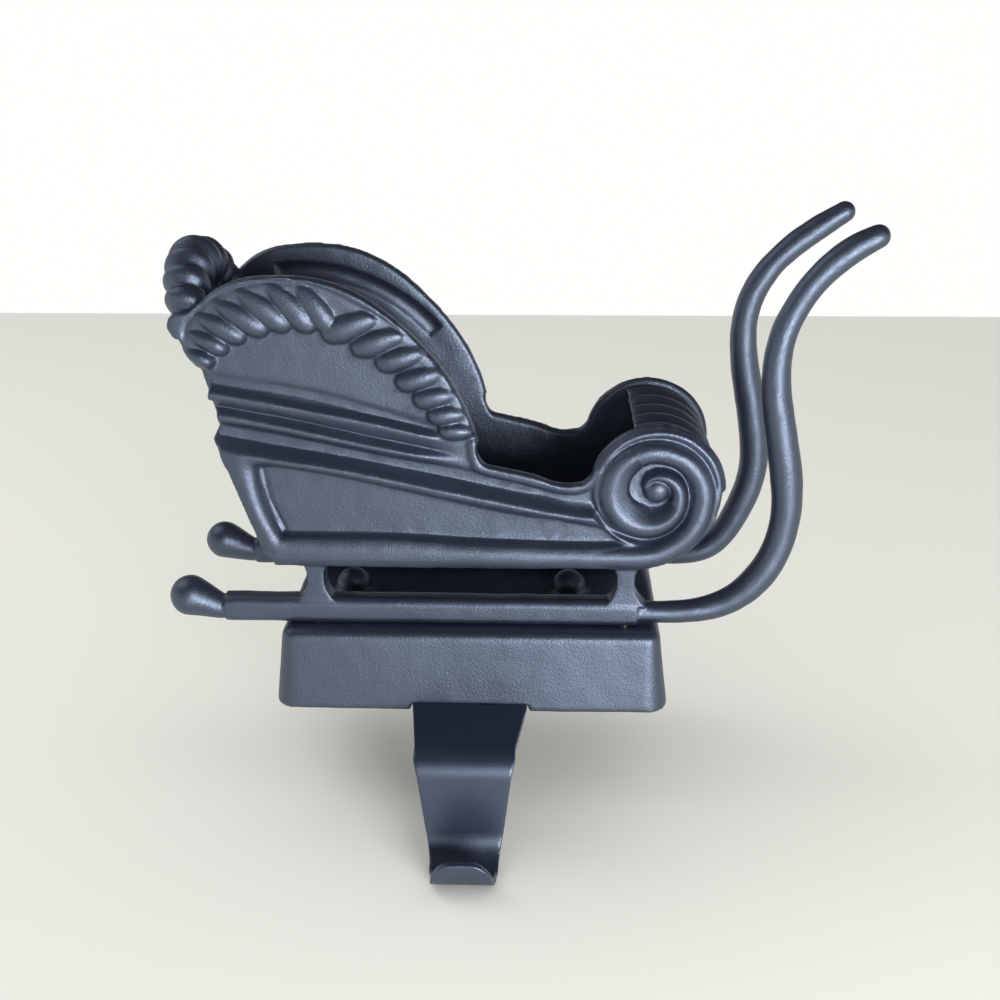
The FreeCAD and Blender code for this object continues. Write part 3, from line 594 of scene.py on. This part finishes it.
# %% [markdown]
# ## Rim along the crest and the arm
#
# A flat band follows the top of the high crest, and a thin round edge goes on
# down the arm to the scroll. Inside the band the field swells a little, which
# gives the lobes a cushion to lie on, with a narrow groove against the band.
# The band could be offset from the outline, but the real one gets wider and
# narrower, so its inner edge is a line of its own.

# %% Band, arm and cushion
CREST = (
    (-63.0, 50.6), (-66.8, 57.6), (-60.4, 66.5), (-40.0, 71.1), (-9.0, 52.3), (1.3, 31.6),
)
ARM = (
    (1.3, 31.6), (1.9, 27.6), (3.8, 25.3), (14.2, 22.9), (24.5, 20.4), (29.2, 21.4),
    (31.6, 25.1),
)
RIM_INNER = (
    (-67.0, 59.0), (-66.0, 62.0), (-59.7, 67.9), (-52.1, 70.8), (-46.2, 71.8),
    (-37.5, 71.1), (-29.9, 68.5), (-23.3, 65.1), (-14.7, 59.7), (-8.0, 53.2),
    (-2.3, 46.1), (1.1, 39.4), (2.6, 33.2),
)
BAND = 23.9
BAND_EDGE = (-0.5, 0.4)
BAND_REACH = 6.5
BAND_START = 0.03
BAND_LOWEST = 31
ARM_FOOT, ARM_HEIGHT, ARM_HALF_WIDTH = FIELD - 0.6, 1.5, 1.8
ARM_END = 33
CUSHION_HEIGHT = 1.3
CUSHION_WIDTH = 4.6
CUSHION_START = (33, 38)
GROOVE_DEPTH, GROOVE_HALF_WIDTH = 0.4, 1.6


def raise_rim(x, z, height):
    """Flat band along the crest, round edge along the arm, cushion for the lobes."""
    crest_gap, crest_along, _ = from_line(x, z, CREST)
    arm_gap = from_line(x, z, ARM)[0]
    rim_gap, _, rim_side = from_line(x, z, RIM_INNER)
    band = ramp(rim_side * rim_gap, *BAND_EDGE) * (crest_gap < BAND_REACH)
    band = band * (crest_along > BAND_START) * (z > BAND_LOWEST)
    height = height * (1 - band) + np.maximum(height, BAND) * band
    arm = ARM_FOOT + ARM_HEIGHT * rounded(arm_gap, ARM_HALF_WIDTH) * (x < ARM_END)
    height = np.maximum(height, arm)
    below_rim = (rim_side < 0) * (z > CUSHION_START[0]) * (1 - band)
    below_rim = below_rim * ramp(z, *CUSHION_START) * (rim_gap < 2 * CUSHION_WIDTH)
    cushion = CUSHION_HEIGHT * soft(rim_gap - CUSHION_WIDTH, CUSHION_WIDTH)
    groove = GROOVE_DEPTH * soft(rim_gap, GROOVE_HALF_WIDTH)
    return height + (cushion - groove) * below_rim


# %% [markdown]
# ## Lobes
#
# Fourteen lobes lie in a fan under the rim, like the strands of a thick rope.
# Each is pointed at one end and fat at the other, and no two are quite alike,
# so each is given one by one from its two ends and its width. An array along the
# crest would be quicker and would look stamped.

# %% Lobes
# each lobe from its pointed end to its fat end, then half its width
LOBES = (
    (-67.5, 55.2, -60.2, 51.4, 2.3),
    (-67.0, 60.0, -56.6, 54.6, 2.6),
    (-65.4, 64.4, -52.2, 57.3, 3.0),
    (-60.8, 67.8, -46.8, 59.0, 3.2),
    (-55.0, 70.6, -41.5, 60.0, 3.4),
    (-47.4, 72.4, -35.8, 59.6, 3.4),
    (-40.0, 71.8, -31.2, 59.6, 3.4),
    (-18.2, 64.2, -34.2, 58.4, 3.6),
    (-12.2, 60.0, -27.5, 54.9, 3.4),
    (-8.0, 55.5, -21.7, 51.4, 3.2),
    (-4.0, 50.2, -17.0, 46.7, 3.1),
    (-1.4, 44.7, -13.0, 42.8, 2.9),
    (1.2, 39.7, -9.6, 38.9, 2.8),
    (2.8, 35.1, -7.0, 35.2, 2.5),
)
LOBE_FOOT, LOBE_HEIGHT = 22.1, 3.1
LOBE_SWELL = 2.1
POINTED_POWER, FAT_POWER = 0.7, 0.4
FULLNESS_POWER = 0.8
LOBE_EDGE = (-0.1, 1.0)
LEAST_SHARE, LEAST_WIDTH = 1e-6, 0.05


def lobe(x, z, thin_x, thin_z, fat_x, fat_z, half_width):
    """Height, 0 to 1, of one lobe: pointed at one end, round and fat at the other."""
    step_x, step_z = fat_x - thin_x, fat_z - thin_z
    length = math.hypot(step_x, step_z)
    along = ((x - thin_x) * step_x + (z - thin_z) * step_z) / length ** 2
    across = np.abs((z - thin_z) * step_x - (x - thin_x) * step_z) / length
    t = np.clip(along, 0, 1)
    pointed = np.clip(t, LEAST_SHARE, 1) ** POINTED_POWER
    fat = np.clip(1 - t, LEAST_SHARE, 1) ** FAT_POWER
    width = half_width * LOBE_SWELL * pointed * fat
    body = rounded(across, np.maximum(width, LEAST_WIDTH))
    fullness = np.clip(width / half_width, 0, 1) ** FULLNESS_POWER
    return np.where((along > 0) & (along < 1), body * fullness, 0)


def lay_lobes(x, z, height):
    """The fan of lobes, cut off where it meets the rim."""
    rim_gap, _, rim_side = from_line(x, z, RIM_INNER)
    inside_rim = ramp(-rim_side * rim_gap, *LOBE_EDGE)
    for ends_and_width in LOBES:
        hump = lobe(x, z, *ends_and_width) * inside_rim
        raised = np.maximum(height, LOBE_FOOT + LOBE_HEIGHT * hump)
        height = np.where(hump > 0, raised, height)
    return height


# %% [markdown]
# ## The whole carved face
#
# The layers are laid in the order in which a carver would cut them: levels
# first, then long mouldings, then panel and scroll, and the lobes on top. Later
# layers rise over earlier ones, so the order decides what covers what. A stack
# of displacement textures would only add them up.


# %% Height of the carved face
def side_height(x, z):
    """Distance of the carved face from the sleigh's middle, in mm."""
    tub = tub_share(x, z)
    height = FIELD + (TUB - FIELD) * tub
    height = cut_coves(x, z, height)
    height = raise_ridges(x, z, height)
    height = np.maximum(height, LOWEST)
    height = sink_panel(x, z, height, tub)
    height = lay_disc(x, z, height)
    height = wind_ridge(x, z, height)
    height = set_eye(x, z, height)
    height = raise_rim(x, z, height)
    height = lay_lobes(x, z, height)
    return np.maximum(height, LOWEST)


middle_of_panel = side_height(np.array([-30.0]), np.array([15.0]))[0]
print("the panel lies", round(middle_of_panel, 2), "mm from the middle")

# %% [markdown]
# ## Reading the blank
#
# Before the relief can be pressed in, the script has to know the blank that it
# is pressed into: how far out the skin of the side is at each place, and where
# the flat back is. Rays shot at the mesh measure both, over a grid of half a
# millimetre. A place between those of the grid is read from the four round it,
# because the nearest one alone would leave small steps.

# %% Skin and back of the blank
BODY_Z = 38.9
CORE = 20.8
GRID = 0.5
GRID_X = (-76.0, 66.0)
GRID_Z = (-3.0, 76.0)
SIDE_RAY_FROM = -60.0
BACK_RAY_FROM = (-100.0, 14.0)
BACK_RAY_LENGTH = 120.0
NO_BACK = -80.0


def skin_of(piece):
    """Height of the near side's outer face over a grid of places, as cast."""
    tree = BVHTree.FromObject(piece, bpy.context.evaluated_depsgraph_get())
    columns = np.arange(*GRID_X, GRID)
    rows = np.arange(*GRID_Z, GRID)
    skin = np.zeros((len(rows), len(columns)))
    for i, z in enumerate(rows):
        for j, x in enumerate(columns):
            start = Vector((x, SIDE_RAY_FROM, z + BODY_Z)) * MM
            hit = tree.ray_cast(start, Vector((0, 1, 0)), -SIDE_RAY_FROM * MM)[0]
            if hit and -hit.y / MM > CORE:
                skin[i, j] = -hit.y / MM
    return columns, rows, skin


def back_of(piece, rows):
    """Place of the flat back for each height."""
    tree = BVHTree.FromObject(piece, bpy.context.evaluated_depsgraph_get())
    back = []
    for z in rows:
        start = Vector((*BACK_RAY_FROM, z + BODY_Z)) * MM
        hit = tree.ray_cast(start, Vector((1, 0, 0)), BACK_RAY_LENGTH * MM)[0]
        back.append(hit.x / MM if hit else NO_BACK)
    return np.array(back)


def neighbours(grid):
    """The grid seen from each of the places round about."""
    shifts = (-2, -1, 0, 1, 2)
    return [np.roll(np.roll(grid, i, 0), j, 1) for i in shifts for j in shifts]


def sampled(grid, column, row):
    """Value of a grid between its places."""
    i, j = np.floor(row).astype(int), np.floor(column).astype(int)
    di, dj = row - i, column - j
    low = grid[i, j] * (1 - dj) + grid[i, j + 1] * dj
    high = grid[i + 1, j] * (1 - dj) + grid[i + 1, j + 1] * dj
    return low * (1 - di) + high * di


# %% [markdown]
# ## Pressing the relief into the side
#
# Every corner of the mesh that belongs to a side's outer face is moved straight
# in or out to the carved height. Corners on the rounded edge of the side lie
# deeper than the face. They are moved by a share of the same step, so that the
# edge keeps its round form, and they are noted in a group, to be smoothed once
# more afterwards. A displacement modifier would move the edge along its own
# direction too, and would make the side bulge.

# %% Which corners belong to the sides
SIDE_X = (-72, 63.6)
SIDE_Z = (-1.6, 74)
SKIN_START = CORE + 0.4
LEAST_FACING = -0.15
BOTTOM_FADE = (-1.6, -0.5)
NOSE_FADE = (62.2, 63.6)
BACK_START = CORE - 1.5
BACK_X = -48
BACK_Z = (1, 50)


def corner_values(mesh, what):
    """Place or direction of every corner of a mesh, in rows of three."""
    values = np.empty(len(mesh.vertices) * 3)
    mesh.vertices.foreach_get(what, values)
    return values.reshape(-1, 3)


def between(value, limits):
    """True where a value lies between two limits."""
    return (value > limits[0]) & (value < limits[1])


def side_corners(place, normal):
    """Corners of both outer faces, which look outwards."""
    facing = normal[:, 1] * np.sign(place[:, 1])
    in_box = between(place[:, 0], SIDE_X) & between(place[:, 2] - BODY_Z, SIDE_Z)
    on_skin = (np.abs(place[:, 1]) > SKIN_START) & (facing > LEAST_FACING)
    return np.nonzero(in_box & on_skin)[0]


def back_corners(place):
    """Corners where the sides end at the back."""
    in_box = (place[:, 0] < BACK_X) & between(place[:, 2] - BODY_Z, BACK_Z)
    return np.nonzero(in_box & (np.abs(place[:, 1]) > BACK_START))[0]


# %% [markdown]
# ## One pass over the whole mesh
#
# The share of the step is read from the blank: a corner that lies on the skin
# gets all of it, and a corner near the core gets none. Well inside the outline
# each corner gets all of it. At the back the carving may not push anything out
# of the flat wall, so the ends of the mouldings are cut flush with it. All the
# corners are moved together as one array, which takes seconds where a loop over
# them would take minutes.

# %% Carving
EDGES = "edges of the sides"
THINNEST_SKIN = 0.5
WELL_INSIDE = 0.97
EDGE_START = CORE + 0.5


def carve(piece):
    """Press the relief into both outer faces of the sleigh's sides."""
    columns, rows, skin = skin_of(piece)
    back = back_of(piece, rows)
    well_inside = np.mean(neighbours(np.min(neighbours(skin), axis=0) > 0), axis=0)
    outer = np.where(skin > 0, skin, np.max(neighbours(skin), axis=0))
    mesh = piece.data
    place = corner_values(mesh, "co") / MM
    part = side_corners(place, corner_values(mesh, "normal"))
    x, depth, z = place[part, 0], np.abs(place[part, 1]), place[part, 2] - BODY_Z
    row, column = (z - rows[0]) / GRID, (x - columns[0]) / GRID
    skin_depth = np.maximum(sampled(outer, column, row) - CORE, THINNEST_SKIN)
    share = np.clip((depth - CORE) / skin_depth, 0, 1)
    whole = sampled(well_inside, column, row)
    share = share * (1 - whole) + whole
    pressed = CORE + share * (side_height(x, z) - CORE)
    amount = ramp(z, *BOTTOM_FADE) * (1 - ramp(x, *NOSE_FADE))
    place[part, 1] = np.sign(place[part, 1]) * (depth + (pressed - depth) * amount)
    ends = back_corners(place)
    flush = np.interp(place[ends, 2] - BODY_Z, rows, back)
    place[ends, 0] = np.maximum(place[ends, 0], flush)
    mesh.vertices.foreach_set("co", (place * MM).ravel())
    mesh.update()
    edges = part[(whole < WELL_INSIDE) & (depth > EDGE_START)]
    group = piece.vertex_groups.new(name=EDGES)
    group.add(edges.tolist() + ends.tolist(), 1.0, "REPLACE")
    print("carved", len(part), "of", len(mesh.vertices), "corners")


# %% [markdown]
# ## Sleigh
#
# The sleigh came out of its mould in one piece, with its runners, posts and
# shafts, so it stays one mesh here. Apart, the plain runners could have larger
# faces, but a joint would show where the real one has none. After the carving,
# its edges and then the whole of it are smoothed once more, and a little
# unevenness makes it lively rather than exact.

# %% Sleigh casting
SLEIGH_FACE_MM = 0.42
SLEIGH_WAVES = ((14.0, 0.20), (4.0, 0.10))
SLEIGH_TRIANGLES = 195000

sleigh = merged_copy("sleigh", "sleigh_casting")
remesh(sleigh, SLEIGH_FACE_MM, 2)
carve(sleigh)
soften(sleigh, 8, EDGES)
soften(sleigh, 1)
uneven(sleigh, SLEIGH_WAVES)
thin_out(sleigh, SLEIGH_TRIANGLES)

# %% [markdown]
# ## Base
#
# The base is a hollow casting with sloping sides. Its lower rim was ground flat
# and painted, and its faces are a little wavy. Its few edges could be beveled,
# but then they would look machined beside the sleigh. It has no fine relief, so
# it gets larger faces than the sleigh and fewer of them.

# %% Base casting
BASE_FACE_MM = 0.6
BASE_WAVES = ((22.0, 0.16), (5.0, 0.06))
BASE_TRIANGLES = 90000

base = merged_copy("base", "base_casting")
remesh(base, BASE_FACE_MM, 3)
uneven(base, BASE_WAVES)
thin_out(base, BASE_TRIANGLES)

# %% [markdown]
# ## Hook strip
#
# The hook is cut from flat steel and bent, so its faces stay even and only its
# sheared edges are a little rounded by paint. A Bevel modifier would do that as
# well, but the remesh rounds all three pieces alike. It gets no unevenness:
# rolled steel is flat, and the contrast with the castings is part of the look.

# %% Hook strip
STRIP_FACE_MM = 0.35
STRIP_TRIANGLES = 60000

strip = merged_copy("stocking_hook", "hook_strip")
remesh(strip, STRIP_FACE_MM, 2)
thin_out(strip, STRIP_TRIANGLES)

# %% [markdown]
# ## Pieces take their places
#
# Each casting now stands in for the CAD node that it was made from. It rides on
# the same body, and the node is no longer shown. The screws are small and plain,
# so they stay CAD nodes.

# %% Pieces take their places
for piece, node, finish in (
    (sleigh, "sleigh", "painted_casting"),
    (base, "base", "painted_casting"),
    (strip, "stocking_hook", "painted_strip"),
):
    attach(piece, "root")
    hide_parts(node)
    print(piece.name, "takes the place of", node)

# %% [markdown]
# ## Paint
#
# Satin black paint on iron is not flat black. It is dark, but it mirrors the
# white room in a broad soft way, which makes faces that look at the light
# slate grey and leaves hollows nearly black. A high index of refraction gives
# that strong sheen, and a blue tint gives its slate colour. A plain grey paint
# would be as light in the hollows as on the faces.
#
# The grain of the sand shows through as tiny bumps. The same noise makes the
# gloss uneven, because paint is thinner on each grain. All of it is drawn from
# places on the object, so nothing has to be unwrapped, as it would have to be
# for a painted image.

# %% Satin paint
SHEEN_COLOUR = (0.61, 0.745, 1.0, 1.0)
SHEEN_IOR = 2.15
PATCHES_PER_METRE = 55.0
NOISE_FROM, NOISE_TO = 0.3, 0.7
NOISE_DETAIL = 3.0
PATCH_ROUGHNESS, GRAIN_ROUGHNESS = 0.55, 0.6
DARKER, LIGHTER = 0.86, 1.1
GLOSSIER, DULLER = 0.06, 0.08
BUMP_STRENGTH = 0.6


def add(tree, kind, **values):
    """A new node with the given socket values."""
    node = tree.nodes.new(kind)
    for key, value in values.items():
        node.inputs[key.replace("_", " ")].default_value = value
    return node


def uneven_tone(tree, place, colour):
    """The paint's colour, a little darker and lighter in soft patches."""
    patches = add(tree, "ShaderNodeTexNoise", Scale=PATCHES_PER_METRE,
                  Detail=NOISE_DETAIL, Roughness=PATCH_ROUGHNESS)
    tone = tree.nodes.new("ShaderNodeValToRGB")
    dark, light = tone.color_ramp.elements
    dark.position, light.position = NOISE_FROM, NOISE_TO
    dark.color = [v * DARKER for v in colour] + [1.0]
    light.color = [v * LIGHTER for v in colour] + [1.0]
    tree.links.new(place.outputs["Object"], patches.inputs["Vector"])
    tree.links.new(patches.outputs["Fac"], tone.inputs["Fac"])
    return tone


def satin_paint(name, colour, grain_mm, grain_height_mm, gloss):
    """Dark paint with a broad sheen over fine grain."""
    material = bpy.data.materials.new(name)
    material.use_nodes = True
    tree = material.node_tree
    shader = tree.nodes["Principled BSDF"]
    shader.inputs["IOR"].default_value = SHEEN_IOR
    shader.inputs["Specular Tint"].default_value = SHEEN_COLOUR
    place = tree.nodes.new("ShaderNodeTexCoord")
    tone = uneven_tone(tree, place, colour)
    tree.links.new(tone.outputs["Color"], shader.inputs["Base Color"])
    grain = add(tree, "ShaderNodeTexNoise", Scale=1.0 / (grain_mm * MM),
                Detail=NOISE_DETAIL, Roughness=GRAIN_ROUGHNESS)
    tree.links.new(place.outputs["Object"], grain.inputs["Vector"])
    rough = add(tree, "ShaderNodeMapRange", From_Min=NOISE_FROM, From_Max=NOISE_TO,
                To_Min=gloss - GLOSSIER, To_Max=gloss + DULLER)
    tree.links.new(grain.outputs["Fac"], rough.inputs["Value"])
    tree.links.new(rough.outputs["Result"], shader.inputs["Roughness"])
    bump = add(tree, "ShaderNodeBump", Strength=BUMP_STRENGTH,
               Distance=grain_height_mm * MM)
    tree.links.new(grain.outputs["Fac"], bump.inputs["Height"])
    tree.links.new(bump.outputs["Normal"], shader.inputs["Normal"])
    return material


# %% [markdown]
# ## Which piece gets which finish
#
# The castings and the strip were sprayed together, but the same paint looks
# finer and a little glossier on rolled steel than on sand-cast iron. The screws
# were put in afterwards, so they are bare steel. One function makes all three,
# because they differ only in colour, grain and gloss.

# %% Paint on castings and strip, steel of the screws
CASTING_BLACK = (0.009, 0.011, 0.021)
STRIP_BLACK = (0.006, 0.008, 0.020)
BARE_STEEL = (0.36, 0.36, 0.37)

casting_paint = satin_paint("satin black on casting", CASTING_BLACK, 0.55, 0.16, 0.42)
strip_paint = satin_paint("satin black on strip", STRIP_BLACK, 0.5, 0.03, 0.40)
screw_steel = satin_paint("screw steel", BARE_STEEL, 0.4, 0.02, 0.35)
screw_steel.node_tree.nodes["Principled BSDF"].inputs["Metallic"].default_value = 1.0
painted = ((sleigh, casting_paint), (base, casting_paint), (strip, strip_paint))
for piece, paint in painted:
    piece.data.materials.clear()
    piece.data.materials.append(paint)
for name in ("hook_screws", "sleigh_screws"):
    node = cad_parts[name]
    node.data.materials.clear()
    node.data.materials.append(screw_steel)
print("finishes:", [finish.name for finish in (casting_paint, strip_paint, screw_steel)])

# %% [markdown]
# ## Table
#
# The holder stands on a pale, dull table that ends behind it. The table is a
# single square face. Its far edge is where the photograph has its horizon, which
# a curved backdrop would hide. It lies a hair under the hook, which reaches
# lower than the base does.

# %% Table
TABLE_COLOUR = (0.79, 0.78, 0.735, 1.0)
TABLE_ROUGHNESS = 0.7
TABLE_BACK_MM = 546.0
TABLE_HALF = 1.0
TABLE_GAP_MM = 0.2

table_z = cad_box[0][2] - TABLE_GAP_MM * MM
table_middle = (0, TABLE_BACK_MM * MM - TABLE_HALF, table_z)
table_mesh = bpy.data.meshes.new("table")
shape = bmesh.new()
bmesh.ops.create_grid(shape, x_segments=1, y_segments=1, size=TABLE_HALF)
bmesh.ops.translate(shape, verts=shape.verts, vec=table_middle)
shape.to_mesh(table_mesh)
shape.free()
table = bpy.data.objects.new("table", table_mesh)
scene.collection.objects.link(table)
table_paint = bpy.data.materials.new("pale table")
table_paint.use_nodes = True
table_shader = table_paint.node_tree.nodes["Principled BSDF"]
table_shader.inputs["Base Color"].default_value = TABLE_COLOUR
table_shader.inputs["Roughness"].default_value = TABLE_ROUGHNESS
table_mesh.materials.append(table_paint)
print("the table lies", round(table_z / MM, 1), "mm from the foot of the base")

# %% [markdown]
# ## White room
#
# The camera sees a plain white wall. What the paint mirrors matters more. In a
# real room the walls are bright up to about the height of the window, and the
# ceiling over a small object is dim, which is why faces that look up stay dark
# and faces that look at the wall turn slate grey. So mirrored rays see white
# low down, and a dim room higher up. All other light comes evenly from every
# side, like daylight that has bounced about. Putting real walls round the
# object would do the same, but they would be in the way of every other view.

# %% World for the camera, for mirrored rays and for soft light
WALL_COLOUR = (1.0, 1.0, 0.98, 1.0)
# heights, as the sine of the angle over the horizon, where the white wall ends
WALL_TOP = 0.10
WALL_FADE = 0.30
DIM_ROOM = 0.04
ROOM_LIGHT = 0.84

world = bpy.data.worlds.new("white room")
scene.world = world
world.use_nodes = True
room = world.node_tree
backdrop = room.nodes["Background"]
backdrop.inputs["Color"].default_value = WALL_COLOUR
direction = room.nodes.new("ShaderNodeTexCoord")
split = room.nodes.new("ShaderNodeSeparateXYZ")
room.links.new(direction.outputs["Generated"], split.inputs["Vector"])
wall = add(room, "ShaderNodeMapRange", From_Min=WALL_TOP, From_Max=WALL_FADE,
           To_Min=1.0, To_Max=DIM_ROOM)
room.links.new(split.outputs["Z"], wall.inputs["Value"])

rays = room.nodes.new("ShaderNodeLightPath")
mirrored = room.nodes.new("ShaderNodeMath")
mirrored.operation = "MAXIMUM"
room.links.new(rays.outputs["Is Glossy Ray"], mirrored.inputs[0])
room.links.new(rays.outputs["Is Transmission Ray"], mirrored.inputs[1])
level = add(room, "ShaderNodeMapRange", To_Min=ROOM_LIGHT)
room.links.new(mirrored.outputs["Value"], level.inputs["Value"])
room.links.new(wall.outputs["Result"], level.inputs["To Max"])
plain = add(room, "ShaderNodeMapRange", To_Max=1.0)
room.links.new(rays.outputs["Is Camera Ray"], plain.inputs["Value"])
room.links.new(level.outputs["Result"], plain.inputs["To Min"])
room.links.new(plain.outputs["Result"], backdrop.inputs["Strength"])
print("room light", ROOM_LIGHT, "and white wall up to", WALL_TOP)


# %% [markdown]
# ## Lamps
#
# Even light alone would show no relief. A soft lamp low on the right rakes over
# the sides, so that each ridge and lobe has a light flank and a dark one, and a
# larger and weaker one from behind on the left draws the top edges. Both are
# square and wide, like windows, because a small lamp would leave hard shadows.


# %% Soft lamps
def soft_lamp(name, place_mm, target_mm, size_mm, watts):
    """A square soft lamp that looks at a target."""
    data = bpy.data.lights.new(name, "AREA")
    data.size = size_mm * MM
    data.energy = watts
    lamp = bpy.data.objects.new(name, data)
    scene.collection.objects.link(lamp)
    heading = Vector(target_mm) - Vector(place_mm)
    turn = heading.to_track_quat("-Z", "Y").to_matrix().to_4x4()
    lamp.matrix_world = Matrix.Translation(Vector(place_mm) * MM) @ turn
    print(name, "of", watts, "W at", round(heading.length), "mm")


soft_lamp("front window", (240, -560, 60), (0, 0, 35), 240, 4.2)
soft_lamp("side window", (-520, 120, 560), (0, 0, 20), 500, 1.1)

# %% [markdown]
# ## Finish
#
# The Standard view shows each colour about as it was written, where a film-like
# one would grey the white wall. Rounding and waves have to stay within a
# fraction of a millimetre.

# %% Finish
scene.view_settings.view_transform = "Standard"
